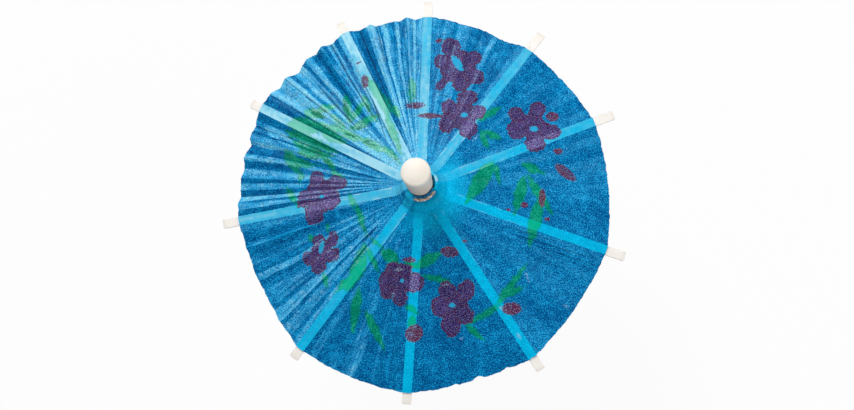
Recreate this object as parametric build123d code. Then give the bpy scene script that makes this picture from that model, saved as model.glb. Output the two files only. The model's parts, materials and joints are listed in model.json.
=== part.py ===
from build123d import *
import math
import os

# A cocktail umbrella pick: a paper parasol on a pointed wooden stick, drawn open.
# Millimetres and degrees. +Z runs up the stick, and the origin is the middle of the pick's straight shaft.

# Directions of the ribs round the stick, counted from +X. Hand work spaces them unevenly.
rib_directions = (23, 54.5, 89, 115.5, 150.5, 187, 231, 265, 303, 342)

# Fold: slope of the ribs below level when open, and when folded against the stick
open_slope = 12.0
closed_slope = 80.0

# Ribs and their eyes
pivot_radius = 4.5
rib_length = 51.1
rib_width = 2.4
rib_thickness = 0.8
rib_tip_round = 0.3
eye_width = 1.0
eye_diameter = 1.1
thread_diameter = 0.4
thread_play = 0.075
tongue_length = 2.2
taper_length = 5.8

# Struts and the folded tabs that hinge them under the ribs
strut_station = 20.0
strut_width = 2.0
strut_thickness = 0.5
strut_tongue_length = 4.0
strut_taper_length = 5.0
foot_length = 5.0
foot_width = 2.0
foot_thickness = 0.3
foot_web = 0.3
crease_drop = 0.8
crease_diameter = 0.5
crease_clearance = 0.06

# Paper: a disc, glued down a little off the stick's axis
rim_radius = 50.0
rim_dip = 1.0
paper_shift_x = -0.8
paper_shift_y = -1.1
paper_thickness = 0.2
paper_clearance = 0.1

# Stick
stick_length = 107.0
stick_diameter = 2.4
shaft_diameter = 2.0
shaft_length = 22.0
shaft_taper_length = 6.0
point_length = 9.0
point_diameter = 0.5
glue_clearance = 0.03

# Crown and runner, the two slotted collars
collar_rim = 0.8
slot_clearance = 0.15
floor_clearance = 0.3
thread_groove_clearance = 0.05
tooth_drop = 0.9
crown_core_drop = 1.6
roof_clearance = 0.2
roof_thickness = 0.85
roof_round = 0.35
runner_hub_diameter = 6.4
runner_hub_length = 2.2
runner_clearance = 0.08

# Sleeve and retainer on the stick
sleeve_length = 12.0
sleeve_wall = 0.2
sleeve_wraps = 5
sleeve_clearance = 0.08
retainer_length = 3.0
retainer_diameter = 4.8
retainer_round = 0.6
retainer_clearance = 0.03
seat_gap = 0.05

# Finial
finial_foot_diameter = 6.2
finial_top_diameter = 7.3
finial_height = 16.9
finial_edge_round = 0.8
finial_dome_radius = 8.0
finial_bore_depth = 9.0
bore_end_gap = 0.4

# Paper neck and its binding
neck_height = 4.6
neck_skirt = 1.7
binding_diameter = 0.8
binding_pitch = 1.25
binding_turns = 1.75
binding_foot = 1.1

# Worked out from the sizes above
gaps_between_ribs = [
    (rib_directions[(i + 1) % len(rib_directions)] - a) % 360 for i, a in enumerate(rib_directions)
]
thread_hole_diameter = thread_diameter + 2 * thread_play
crease_depth = rib_thickness / 2 + crease_drop
strut_length = math.hypot(strut_station, crease_depth)
crease_lag = math.degrees(math.atan2(crease_depth, strut_station))
strut_open_slope = open_slope + crease_lag
strut_closed_slope = closed_slope + crease_lag


def runner_drop(strut_slope):
    """How far the strut eyes hang below the rib eyes, for rib pivot and strut eye at one radius."""
    return 2 * strut_length * math.sin(math.radians(strut_slope))


runner_travel = runner_drop(strut_closed_slope) - runner_drop(strut_open_slope)
fold_angle = closed_slope - open_slope

slot_width = eye_width + 2 * slot_clearance
slot_floor_radius = pivot_radius - eye_diameter / 2 - floor_clearance
collar_radius = pivot_radius + collar_rim
roof_underside = eye_diameter / 2 + roof_clearance
roof_top = roof_underside + roof_thickness

# Heights, from the shaft's middle up
shaft_top = shaft_length / 2
working_foot = shaft_top + shaft_taper_length
stick_foot = -shaft_length / 2 - point_length
stick_top = stick_foot + stick_length
finial_foot_height = stick_top - finial_bore_depth + bore_end_gap
pivot_height = finial_foot_height - roof_top
runner_height = pivot_height - runner_drop(strut_open_slope)
runner_foot = runner_height - tooth_drop - runner_hub_length
sleeve_foot = runner_foot - seat_gap - sleeve_length
retainer_foot = sleeve_foot - seat_gap - retainer_length
room_when_closed = retainer_foot - runner_travel - working_foot


def revolved(points):
    """A solid turned round the stick's axis from corners given as (radius, height)."""
    outline = make_face(Polyline(*[(r, 0, z) for r, z in points], close=True))
    return revolve(outline, Axis.Z)


def plan_point(radius, direction):
    return Vector(radius * math.cos(math.radians(direction)), radius * math.sin(math.radians(direction)))


def tangent_cylinder(diameter, length, along, height):
    """A cylinder across a strip, at a distance along it and a height over its middle."""
    return Pos(along, 0, height) * Rot(90, 0, 0) * Cylinder(diameter / 2, length)


def strip(tongue_width, tongue, taper, width, length, thickness):
    """A flat strip from its eye at the origin along +X, with a narrow tongue that widens."""
    corners = [
        (0, tongue_width / 2),
        (tongue, tongue_width / 2),
        (tongue + taper, width / 2),
        (length, width / 2),
    ]
    mirrored = [(x, -y) for x, y in reversed(corners)]
    return extrude(make_face(Polyline(*corners, *mirrored, close=True)), thickness / 2, both=True)


def with_eye(blade):
    """The strip with its rounded eye and the hole for the thread."""
    eye = tangent_cylinder(eye_diameter, eye_width, 0, 0)
    hole = tangent_cylinder(thread_hole_diameter, 2 * eye_width, 0, 0)
    return blade + eye - hole


def make_rib():
    blade = strip(eye_width, tongue_length, taper_length, rib_width, rib_length, rib_thickness)
    tip_edges = blade.edges().filter_by(Axis.Z).group_by(Axis.X)[-1]
    return with_eye(fillet(tip_edges, rib_tip_round))


def make_strut():
    blade = strip(
        eye_width, strut_tongue_length, strut_taper_length, strut_width, strut_length, strut_thickness
    )
    crease_seat = tangent_cylinder(
        crease_diameter + 2 * crease_clearance, 2 * strut_width, strut_length, 0
    )
    return with_eye(blade - crease_seat)


def make_strut_foot():
    underside = -rib_thickness / 2
    pad = Pos(strut_station, 0, underside - foot_thickness / 2) * Box(foot_length, foot_width, foot_thickness)
    web = Pos(strut_station, 0, underside - crease_drop / 2) * Box(foot_web, foot_width, crease_drop)
    crease = tangent_cylinder(crease_diameter, foot_width, strut_station, -crease_depth)
    return pad + web + crease


def open_rib_place(direction):
    """Where a rib's eye sits, turned to the rib's open slope."""
    return Rot(0, 0, direction) * Pos(pivot_radius, 0, pivot_height) * Rot(0, open_slope, 0)


def open_strut_place(direction):
    """Where a strut's eye sits, turned to the strut's open slope."""
    return Rot(0, 0, direction) * Pos(pivot_radius, 0, runner_height) * Rot(0, -strut_open_slope, 0)


def cut_slots(collar, low, high):
    """The collar with a radial slot for each eye, open between two heights."""
    reach = 2 * collar_rim + collar_radius
    slot = Box(reach, slot_width, high - low, align=(Align.MIN, Align.CENTER, Align.MIN))
    for direction in rib_directions:
        collar -= Rot(0, 0, direction) * Pos(slot_floor_radius, 0, low) * slot
    return collar


def thread_groove(height):
    half = thread_diameter / 2 + thread_groove_clearance
    return revolved([
        (pivot_radius - half, height - half),
        (collar_radius + collar_rim, height - half),
        (collar_radius + collar_rim, height + half),
        (pivot_radius - half, height + half),
    ])


def make_thread(height):
    return Pos(0, 0, height) * Torus(pivot_radius, thread_diameter / 2)


def make_crown():
    bore = stick_diameter / 2 + glue_clearance
    blank = revolved([
        (bore, pivot_height - crown_core_drop),
        (slot_floor_radius, pivot_height - crown_core_drop),
        (slot_floor_radius, pivot_height - tooth_drop),
        (collar_radius, pivot_height - tooth_drop),
        (collar_radius, pivot_height + roof_top),
        (bore, pivot_height + roof_top),
    ])
    roof_edge = blank.edges().filter_by(GeomType.CIRCLE).group_by(Axis.Z)[-1].sort_by(SortBy.RADIUS)[-1]
    blank = fillet(roof_edge, roof_round)
    low = pivot_height - 2 * crown_core_drop
    return cut_slots(blank, low, pivot_height + roof_underside) - thread_groove(pivot_height)


def make_runner():
    bore = stick_diameter / 2 + runner_clearance
    blank = revolved([
        (bore, runner_foot),
        (runner_hub_diameter / 2, runner_foot),
        (runner_hub_diameter / 2, runner_height - tooth_drop),
        (collar_radius, runner_height - tooth_drop),
        (collar_radius, runner_height + roof_underside),
        (bore, runner_height + roof_underside),
    ])
    low = runner_height - 2 * tooth_drop
    high = runner_height + 2 * roof_underside
    return cut_slots(blank, low, high) - thread_groove(runner_height)


def make_stick():
    return revolved([
        (0, stick_foot),
        (point_diameter / 2, stick_foot),
        (shaft_diameter / 2, stick_foot + point_length),
        (shaft_diameter / 2, shaft_top),
        (stick_diameter / 2, working_foot),
        (stick_diameter / 2, stick_top),
        (0, stick_top),
    ])


def make_finial():
    """A tapered peg with a shallow dome, whose edge is rounded smoothly into its side."""
    top = finial_foot_height + finial_height
    top_radius = finial_top_diameter / 2
    edge_middle = top_radius - finial_edge_round
    dome_middle = top - finial_dome_radius
    apart = finial_dome_radius - finial_edge_round
    shoulder = dome_middle + math.sqrt(apart ** 2 - edge_middle ** 2)
    lean = math.asin(edge_middle / apart)
    side = Polyline(
        (0, 0, top),
        (0, 0, finial_foot_height),
        (finial_foot_diameter / 2, 0, finial_foot_height),
        (top_radius, 0, shoulder),
    )

    def on_edge(angle):
        out, up = finial_edge_round * math.cos(angle), finial_edge_round * math.sin(angle)
        return edge_middle + out, 0, shoulder + up

    def on_dome(angle):
        return finial_dome_radius * math.sin(angle), 0, dome_middle + finial_dome_radius * math.cos(angle)

    edge_turn = math.pi / 2 - lean
    edge = ThreePointArc(on_edge(0), on_edge(edge_turn / 2), on_edge(edge_turn))
    dome = ThreePointArc(edge @ 1, on_dome(lean / 2), on_dome(0))
    peg = revolve(make_face(side + edge + dome), Axis.Z)
    bore = Cylinder(
        stick_diameter / 2 + glue_clearance, finial_bore_depth, align=(Align.CENTER, Align.CENTER, Align.MIN)
    )
    return peg - Pos(0, 0, finial_foot_height) * bore


def make_sleeve():
    """A strip of paper rolled tight, whose outer end stands one wall proud as a lap."""
    bore = stick_diameter / 2 + sleeve_clearance
    tight = bore + sleeve_wall * (sleeve_wraps - 1)

    def on_roll(turn):
        return plan_point(tight + sleeve_wall * turn, 360 * turn)

    quarters = [ThreePointArc(on_roll(i / 4), on_roll((i + 0.5) / 4), on_roll((i + 1) / 4)) for i in range(4)]
    lap = Line(on_roll(1), on_roll(0))
    roll = make_face(quarters + [lap]) - Circle(bore)
    return Pos(0, 0, sleeve_foot) * extrude(roll, sleeve_length)


def make_retainer():
    bore = stick_diameter / 2 + retainer_clearance
    ring = revolved([
        (bore, retainer_foot),
        (retainer_diameter / 2, retainer_foot),
        (retainer_diameter / 2, retainer_foot + retainer_length),
        (bore, retainer_foot + retainer_length),
    ])
    rims = ring.edges().filter_by(GeomType.CIRCLE).sort_by(SortBy.RADIUS)[-2:]
    return fillet(rims, retainer_round)


def make_neck():
    """The paper drawn in over the crown and up the foot of the finial, as one thin turned skin."""
    skirt_radius = collar_radius + neck_skirt
    skirt_height = pivot_height + rib_thickness / 2 + 2 * paper_clearance + paper_thickness
    roof_height = finial_foot_height + paper_clearance
    tie_radius = finial_foot_diameter / 2 + paper_clearance + (
        (finial_top_diameter - finial_foot_diameter) / 2 * neck_height / finial_height
    )
    inside = [
        (skirt_radius, skirt_height),
        (collar_radius + 2 * paper_clearance, roof_height - roof_round),
        (collar_radius - roof_round, roof_height + paper_clearance),
        (tie_radius + paper_thickness, roof_height + 2 * paper_clearance),
        (tie_radius, finial_foot_height + neck_height),
    ]
    outside = [(r + paper_thickness / 2, z + paper_thickness) for r, z in inside]
    return revolved(inside + outside[::-1])


def biarc(start, start_direction, end, end_direction):
    """Two arcs that join two points smoothly, with a given direction at each."""
    span = end - start
    both = start_direction + end_direction
    bend = 2 * (1 - start_direction.dot(end_direction))
    forward = span.dot(both)
    reach = (math.sqrt(forward ** 2 + bend * span.dot(span)) - forward) / bend
    first = start + start_direction * reach
    second = end - end_direction * reach
    middle = (first + second) * 0.5
    return [
        TangentArc(start, middle, tangent=start_direction),
        TangentArc(middle, end, tangent=second - first),
    ]


def binding_path():
    """The thread's middle line round the neck: straight tails, and quarter turns between them."""
    neck_radius = finial_foot_diameter / 2 + paper_thickness * 2 + paper_clearance * 3
    radius = neck_radius + binding_diameter / 2
    foot = finial_foot_height + binding_foot
    rise = binding_pitch / (2 * math.pi)

    def point(turn):
        return Vector(radius * math.cos(turn), radius * math.sin(turn), foot + rise * turn)

    def direction(turn):
        return Vector(-radius * math.sin(turn), radius * math.cos(turn), rise).normalized()

    quarters = round(4 * binding_turns)
    turns = [i * math.pi / 2 for i in range(quarters + 1)]
    path = [Line(point(0) - direction(0) * binding_diameter, point(0))]
    for here, there in zip(turns, turns[1:]):
        path += biarc(point(here), direction(here), point(there), direction(there))
    path.append(Line(point(turns[-1]), point(turns[-1]) + direction(turns[-1]) * binding_diameter))
    return Wire(path)


def make_binding():
    path = binding_path()
    start = Plane(path @ 0, z_dir=path % 0)
    return sweep(start * Circle(binding_diameter / 2), path=path)


def least_gap_to_itself():
    """The least gap between turns of the binding, on points along it more than half a turn apart."""
    path = binding_path()
    count = 240
    points = [path @ (i / count) for i in range(count + 1)]
    half_turn = int(count / (2 * binding_turns))
    least = min(
        (points[i] - points[j]).length
        for i in range(len(points))
        for j in range(i + half_turn, len(points))
    )
    return least - binding_diameter


# How far the paper's underside lies over a rib's top at its middle, so that it clears the rib's edges
widest_gap = math.radians(max(gaps_between_ribs))
open_tangent = math.tan(math.radians(open_slope))
paper_lift = rib_width / 2 * open_tangent * math.tan(widest_gap / 2) + paper_clearance
paper_apex = (
    pivot_height
    + rib_thickness / 2 / math.cos(math.radians(open_slope))
    + paper_lift
    + pivot_radius * open_tangent
)
paper_inner_radius = collar_radius + neck_skirt / 2


def rim_point(direction, dip=0):
    """Where the edge of the shifted paper disc lies, in a direction from the stick."""
    shift = Vector(paper_shift_x, paper_shift_y)
    along = shift.dot(plan_point(1, direction))
    reach = along + math.sqrt(rim_radius ** 2 - shift.dot(shift) + along ** 2)
    return plan_point(reach - dip, direction)


def make_panel(direction, gap):
    """The flat paper panel from one rib to the next, as a thin sheet over its plan."""
    middle = direction + gap / 2
    end = direction + gap
    rim = ThreePointArc(rim_point(direction), rim_point(middle, rim_dip), rim_point(end))
    inner = ThreePointArc(
        plan_point(paper_inner_radius, end),
        plan_point(paper_inner_radius, middle),
        plan_point(paper_inner_radius, direction),
    )
    outline = make_face(rim + Line(rim @ 1, inner @ 0) + inner + Line(inner @ 1, rim @ 0))
    column = Pos(0, 0, paper_apex - rim_radius) * extrude(outline, 2 * rim_radius)
    first_rib = plan_point(1, direction) - Vector(0, 0, open_tangent)
    second_rib = plan_point(1, end) - Vector(0, 0, open_tangent)
    upward = first_rib.cross(second_rib)
    under = Plane((0, 0, paper_apex), z_dir=upward)
    over = Plane((0, 0, paper_apex + paper_thickness), z_dir=upward)
    sheet = split(column, bisect_by=under, keep=Keep.TOP)
    return split(sheet, bisect_by=over, keep=Keep.BOTTOM)


def half_panel(panel, middle, keep):
    """One side of a panel, cut along the fold half way between its ribs."""
    fold = Plane(origin=(0, 0, 0), x_dir=plan_point(1, middle), z_dir=plan_point(1, middle + 90))
    side = 1 if keep == Keep.TOP else -1
    return split(panel, bisect_by=fold.offset(side * paper_clearance / 2), keep=keep)


def make_gores():
    """The canopy as one piece of paper for each rib, from fold to fold."""
    before, after = [], []
    for direction, gap in zip(rib_directions, gaps_between_ribs):
        panel = make_panel(direction, gap)
        middle = direction + gap / 2
        after.append(half_panel(panel, middle, Keep.BOTTOM))
        before.append(half_panel(panel, middle, Keep.TOP))
    return [before[i - 1] + after[i] for i in range(len(rib_directions))]


def make_pieces():
    """Every piece of the umbrella in its open place, by name."""
    pieces = {
        "pick_stick": make_stick(),
        "finial_cap": make_finial(),
        "crown_collar": make_crown(),
        "crown_thread": make_thread(pivot_height),
        "neck_paper": make_neck(),
        "neck_binding": make_binding(),
        "runner_collar": make_runner(),
        "runner_thread": make_thread(runner_height),
        "paper_sleeve": make_sleeve(),
        "retainer_ring": make_retainer(),
    }
    rib, foot, strut, gores = make_rib(), make_strut_foot(), make_strut(), make_gores()
    for i, direction in enumerate(rib_directions):
        number = f"{i + 1:02d}"
        pieces[f"rib_{number}"] = open_rib_place(direction) * rib
        pieces[f"strut_foot_{number}"] = open_rib_place(direction) * foot
        pieces[f"strut_{number}"] = open_strut_place(direction) * strut
        pieces[f"canopy_gore_{number}"] = gores[i]
    return pieces


def main():
    os.makedirs("parts", exist_ok=True)
    for name, piece in make_pieces().items():
        export_step(piece, f"parts/{name}.step")
    print(f"runner travel {runner_travel:.4f} mm, ribs fold {fold_angle:.2f} degrees")
    print(f"rib eyes at height {pivot_height:.4f} mm, strut eyes at {runner_height:.4f} mm")
    print(f"room between the closed retainer and the taper {room_when_closed:.4f} mm")
    print(f"binding: least gap to itself {least_gap_to_itself():.3f} mm")


main()
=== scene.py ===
import json
import math
import bpy
import numpy as np
from mathutils import Matrix, Vector


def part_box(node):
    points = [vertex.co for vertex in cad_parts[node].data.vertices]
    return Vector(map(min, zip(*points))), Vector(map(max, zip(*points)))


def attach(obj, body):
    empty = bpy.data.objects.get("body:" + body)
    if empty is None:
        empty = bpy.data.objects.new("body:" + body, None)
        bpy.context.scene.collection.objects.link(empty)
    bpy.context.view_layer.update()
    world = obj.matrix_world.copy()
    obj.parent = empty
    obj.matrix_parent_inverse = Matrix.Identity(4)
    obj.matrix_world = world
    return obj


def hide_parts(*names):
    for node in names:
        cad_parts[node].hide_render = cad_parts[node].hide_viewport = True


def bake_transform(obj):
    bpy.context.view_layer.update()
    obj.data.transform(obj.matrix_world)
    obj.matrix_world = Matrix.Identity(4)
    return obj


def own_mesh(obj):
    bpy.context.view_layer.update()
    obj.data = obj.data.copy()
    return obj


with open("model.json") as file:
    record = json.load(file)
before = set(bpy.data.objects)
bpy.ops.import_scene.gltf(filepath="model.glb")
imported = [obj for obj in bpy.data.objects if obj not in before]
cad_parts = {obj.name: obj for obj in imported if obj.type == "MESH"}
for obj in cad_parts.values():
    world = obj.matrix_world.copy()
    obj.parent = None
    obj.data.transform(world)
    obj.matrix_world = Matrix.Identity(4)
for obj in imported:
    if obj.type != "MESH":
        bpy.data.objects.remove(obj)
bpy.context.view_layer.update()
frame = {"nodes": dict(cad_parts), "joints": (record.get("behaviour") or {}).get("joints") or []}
mm = 0.001
fullTurn = 2 * math.pi
cadNodes = frame["nodes"]
print("frame loaded:", len(cadNodes), "nodes")

# What the frame gives: the ribs' directions, the gaps between them, the finial's foot and the pick's point
ribJoints = [j for j in frame["joints"] if j["name"].startswith("rib_")]
ribTurns = np.array([math.atan2(-j["axis"][0], j["axis"][1]) % fullTurn for j in ribJoints])
ribCount = len(ribTurns)
panelGaps = np.array([(ribTurns[(i + 1) % ribCount] - a) % fullTurn for i, a in enumerate(ribTurns)])
ribNumbers = [f"{i + 1:02d}" for i in range(ribCount)]
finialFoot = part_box("finial_cap")[0].z / mm
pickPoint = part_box("pick_stick")[0].z


def linear(red, green, blue):
    # a screen colour from 0 to 255, as Blender's linear colour
    shares = [c / 255 for c in (red, green, blue)]
    return tuple(c / 12.92 if c <= 0.04045 else ((c + 0.055) / 1.055) ** 2.4 for c in shares) + (1.0,)


# Large odd factors that scatter the noise of neighbouring cells, and a mask of 32 bits
hashFactors = (374761393, 668265263, 974634777, 1274126177)
hashMask = 2 ** 32 - 1


def latticeNoise(x, y, seed):
    # smooth noise from -1 to 1 on a unit grid
    perX, perY, perSeed, scatter = hashFactors
    cellX, cellY = np.floor(x).astype(np.int64), np.floor(y).astype(np.int64)
    partX, partY = x - cellX, y - cellY

    def corner(i, j):
        mixed = ((cellX + i) * perX + (cellY + j) * perY + seed * perSeed) & hashMask
        mixed = ((mixed ^ (mixed >> 13)) * scatter) & hashMask
        return (mixed ^ (mixed >> 16)) / 2 ** 31 - 1

    easeX, easeY = partX * partX * (3 - 2 * partX), partY * partY * (3 - 2 * partY)
    low = corner(0, 0) * (1 - easeX) + corner(1, 0) * easeX
    high = corner(0, 1) * (1 - easeX) + corner(1, 1) * easeX
    return low * (1 - easeY) + high * easeY


def smoothStep(low, high, value):
    share = np.clip((value - low) / (high - low), 0, 1)
    return share * share * (3 - 2 * share)


def asideOf(turn, direction):
    # degrees between a turn and a direction, from 0 to 180
    return np.abs((np.degrees(turn) - direction + 180) % 360 - 180)


def planOf(turn, radius):
    return radius * np.cos(turn), radius * np.sin(turn)


def selectOnly(piece):
    bpy.ops.object.select_all(action="DESELECT")
    piece.select_set(True)
    bpy.context.view_layer.objects.active = piece


# Nodes: short helpers, so that a material reads as a list of its layers

def newMaterial(name):
    material = bpy.data.materials.new(name)
    material.use_nodes = True
    tree = material.node_tree
    return material, tree, tree.nodes["Principled BSDF"]


def addNode(tree, kind, settings=None, **inputs):
    made = tree.nodes.new(kind)
    for key, value in (settings or {}).items():
        setattr(made, key, value)
    setInputs(tree, made, **inputs)
    return made


def setInputs(tree, node, **inputs):
    # an underscore in a name stands for a space
    for key, value in inputs.items():
        setInput(tree, node.inputs[key.replace("_", " ")], value)


def setInput(tree, socket, value):
    if isinstance(value, bpy.types.NodeSocket):
        tree.links.new(value, socket)
    else:
        socket.default_value = value


def mixColour(tree, share, first, second):
    # a colour is a socket, or a screen colour from 0 to 255
    made = tree.nodes.new("ShaderNodeMix")
    made.data_type = "RGBA"
    setInput(tree, made.inputs[0], share)
    for number, colour in ((6, first), (7, second)):
        setInput(tree, made.inputs[number], linear(*colour) if isinstance(colour, tuple) else colour)
    return made.outputs[2]


def ramp(tree, value, stops):
    # screen colours along a value from 0 to 1
    made = tree.nodes.new("ShaderNodeValToRGB")
    points = made.color_ramp.elements
    for point, (_, colour) in zip(points, (stops[0], stops[-1])):
        point.color = linear(*colour)
    for place, colour in stops[1:-1]:
        points.new(place).color = linear(*colour)
    setInput(tree, made.inputs[0], value)
    return made.outputs[0]


def compute(tree, operation, first, second):
    made = tree.nodes.new("ShaderNodeMath")
    made.operation = operation
    setInput(tree, made.inputs[0], first)
    setInput(tree, made.inputs[1], second)
    return made.outputs[0]


def multiply(tree, first, second):
    return compute(tree, "MULTIPLY", first, second)


def average(tree, first, second):
    return multiply(tree, compute(tree, "ADD", first, second), 0.5)


def between(tree, value, low, high, start=0.0, end=1.0):
    made = addNode(tree, "ShaderNodeMapRange", {"interpolation_type": "SMOOTHSTEP"}, Value=value,
                   From_Min=low, From_Max=high, To_Min=start, To_Max=end)
    return made.outputs[0]


def attribute(tree, name):
    return addNode(tree, "ShaderNodeAttribute", {"attribute_name": name}).outputs["Fac"]


def objectPlace(tree, stretch=(1, 1, 1)):
    place = tree.nodes.new("ShaderNodeTexCoord").outputs["Object"]
    return addNode(tree, "ShaderNodeMapping", None, Vector=place, Scale=stretch).outputs[0]


def noise(tree, place, scale, detail, roughness):
    made = addNode(tree, "ShaderNodeTexNoise", None, Vector=place, Scale=scale, Detail=detail, Roughness=roughness)
    return made.outputs["Fac"]


def bump(tree, height, depth, strength):
    return addNode(tree, "ShaderNodeBump", None, Height=height, Distance=depth, Strength=strength).outputs[0]


# Camera: over the parasol, leaning a little towards its lower edge
cameraSet = dict(
    tilt=12.67, azimuth=290.9, aim=(0.526, -2.239, 66.0), distance=300.0, lens=47.73, sensor=36, clip=(0.01, 20),
)


def addCamera(s):
    tilt, turn = math.radians(s["tilt"]), math.radians(s["azimuth"])
    back = Vector((math.sin(tilt) * math.cos(turn), math.sin(tilt) * math.sin(turn), math.cos(tilt)))
    aim = Vector(s["aim"]) * mm
    bpy.ops.object.camera_add(location=aim + back * s["distance"] * mm)
    camera = bpy.context.object
    right = Vector((0, 1, 0)).cross(back).normalized()
    camera.rotation_mode = "QUATERNION"
    camera.rotation_quaternion = Matrix((right, back.cross(right), back)).transposed().to_quaternion()
    camera.data.lens = s["lens"]
    camera.data.sensor_width = s["sensor"]
    camera.data.clip_start, camera.data.clip_end = s["clip"]
    bpy.context.scene.camera = camera


# Light: a soft lamp at the upper left, a wide weak one at the right, and a pale room round them
lampSet = [
    dict(azimuth=112, elevation=53, distance=0.9, size=0.5, radiance=9.2),
    dict(azimuth=335, elevation=30, distance=0.9, size=0.6, radiance=2.4),
]
lampAim = Vector((0, 0, 0.07))
roomSet = dict(colour=(1.0, 0.99, 0.97, 1), strength=0.33)


def addLamp(s):
    turn, rise = math.radians(s["azimuth"]), math.radians(s["elevation"])
    out = Vector((math.cos(turn) * math.cos(rise), math.sin(turn) * math.cos(rise), math.sin(rise)))
    bpy.ops.object.light_add(type="AREA", location=lampAim + out * s["distance"])
    lamp = bpy.context.object
    lamp.rotation_mode = "QUATERNION"
    lamp.rotation_quaternion = out.to_track_quat("Z", "Y")
    lamp.data.shape = "DISK"
    lamp.data.size = s["size"]
    diskArea = math.pi * s["size"] ** 2 / 4
    lamp.data.energy = s["radiance"] * math.pi * diskArea


def addRoom(s):
    world = bpy.data.worlds.new("paleRoom")
    world.use_nodes = True
    tree = world.node_tree
    setInputs(tree, tree.nodes["Background"], Color=s["colour"], Strength=s["strength"])
    bpy.context.scene.world = world
    bpy.context.scene.view_settings.view_transform = "Standard"


# Floor: white to the camera, and it still takes the shadow
floorSet = dict(size=10.0, colour=(0.9, 0.9, 0.9, 1), glow=0.93)


def addFloor(s):
    bpy.ops.object.select_all(action="DESELECT")
    bpy.ops.mesh.primitive_plane_add(size=s["size"], location=(0, 0, pickPoint))
    floor = bpy.context.object
    floor.name = "floor"
    material, tree, _ = newMaterial("paleFloor")
    tree.nodes.clear()
    path = tree.nodes.new("ShaderNodeLightPath")
    seen = compute(tree, "MAXIMUM", path.outputs["Is Camera Ray"], path.outputs["Is Glossy Ray"])
    seen = compute(tree, "MAXIMUM", seen, path.outputs["Is Transmission Ray"])
    matt = addNode(tree, "ShaderNodeBsdfDiffuse", None, Color=s["colour"])
    white = addNode(tree, "ShaderNodeEmission", None, Color=(1, 1, 1, 1), Strength=1.0)
    blend = tree.nodes.new("ShaderNodeMixShader")
    setInput(tree, blend.inputs[0], multiply(tree, seen, s["glow"]))
    tree.links.new(matt.outputs[0], blend.inputs[1])
    tree.links.new(white.outputs[0], blend.inputs[2])
    out = tree.nodes.new("ShaderNodeOutputMaterial")
    tree.links.new(blend.outputs[0], out.inputs[0])
    floor.data.materials.append(material)


addCamera(cameraSet)
for lampRow in lampSet:
    addLamp(lampRow)
addRoom(roomSet)
addFloor(floorSet)
print("camera, light and floor are in")

# Canopy: one thin paper disc over the ribs. Millimetres, in plan.
canopySet = dict(
    slope=math.tan(math.radians(12)), innerRadius=6.0, rimRadius=50.0, discShift=(-0.8, -1.1),
    bandWidth=2.4, bandColumns=6, cell=0.32, leastColumns=24, thickness=0.08, sag=0.45,
    rimAtRibs=(0.0, -0.2, 0.8, 1.5, 1.1, -1.0, 0.2, 0.5, 0.4, 0.0),  # past the disc, at each rib
    rimRags=[(0.12, 0.8, 7), (0.07, 2.3, 8)],  # depth, how many a degree, and seed
    crinkles=[(0.6, 1.3, 3), (0.4, 0.6, 4)],  # share, cell and seed
    rimCrease=0.34, hubFadeAndSheenSpan=(10, 44), ribSpan=(1.1, 1.3), deepest=0.3,
    foldedRim=12.6, foldRoom=0.97, anchorRadius=20,
)
paperReach = canopySet["rimRadius"] - canopySet["innerRadius"]

# One line for each panel, from the right-hand rib round: how far its rim dips, how many creases it has,
# how deep they are, how many finer ones lie between them and how deep, how crinkled the paper is, how worn
# its dye is, with painted sheen on the panels that face the lamp and painted shade below 0, and how much the strips
# between creases differ
panelKeys = ("dip", "creases", "depth", "fine", "fineDepth", "crinkle", "fade", "strips")
panelRows = [
    (0.5, 4, 0.08, 9, 0.03, 0.014, 0.05, 0.14),
    (0.6, 6, 0.2, 13, 0.08, 0.025, 0.12, 0.3),
    (0.3, 7, 0.85, 16, 0.24, 0.03, 0.54, 0.7),
    (0.9, 8, 1.0, 20, 0.3, 0.05, 0.12, 0.7),
    (0.9, 8, 0.9, 18, 0.26, 0.05, 0.03, 0.68),
    (1.8, 9, 0.42, 22, 0.22, 0.05, 0.05, 0.34),
    (0.6, 7, 0.28, 14, 0.1, 0.04, -0.08, 0.25),
    (1.3, 5, 0.09, 11, 0.035, 0.015, -0.14, 0.08),
    (1.2, 4, 0.07, 10, 0.03, 0.014, 0.04, 0.06),
    (0.9, 5, 0.08, 10, 0.03, 0.014, 0.08, 0.08),
]
panelSet = [dict(zip(panelKeys, row)) for row in panelRows]
# How pale each band is, and how much paler each panel is near the hub: worn dye with painted sheen
bandFadeAndSheen = (0.3, 0.42, 0.54, 0.8, 0.86, 0.5, 0.2, 0.03, 0.0, 0.06)
hubFadeAndSheen = (0.0, 0.05, 0.2, 0.74, 0.22, 0.0, 0.0, 0.0, 0.0, 0.0)  # more of it near the hub, panel by panel
foldSet = dict(
    jitter=0.34, heights=(0.35, 1.25), latestStart=0.45, growth=0.45, lineHalf=0.34, wearAndSheenStart=0.25,
    stray=0.14, besideRib=0.2, ribEdgeShade=1.6, clear=(0.3, 0.8),
    # these weights give each strip between creases its paleness, which is partly painted sheen
    broadWearAndSheen=0.42, fineWearAndSheen=0.75, reliefWearAndSheen=0.2, hubShare=0.25, fullDepth=0.5, fineFull=0.25, fineMost=0.7,
)
seeds = dict(
    ripple=5, streak=6, finerStreak=9, bandStreak=10, bandGrain=11, gather=12, hem=14, bandRub=15,
    stray=31, ribEdgeShade=61, creases=101, fineCreases=201,
)
rimNicks = [  # direction and half width in degrees, and depth
    (64, 5.5, 0.9), (102.5, 2.5, 0.8), (136, 3, 0.4), (163, 3, 0.4), (286, 1.8, 0.7), (279, 1.2, 0.5), (295, 2, 0.4),
]
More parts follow.
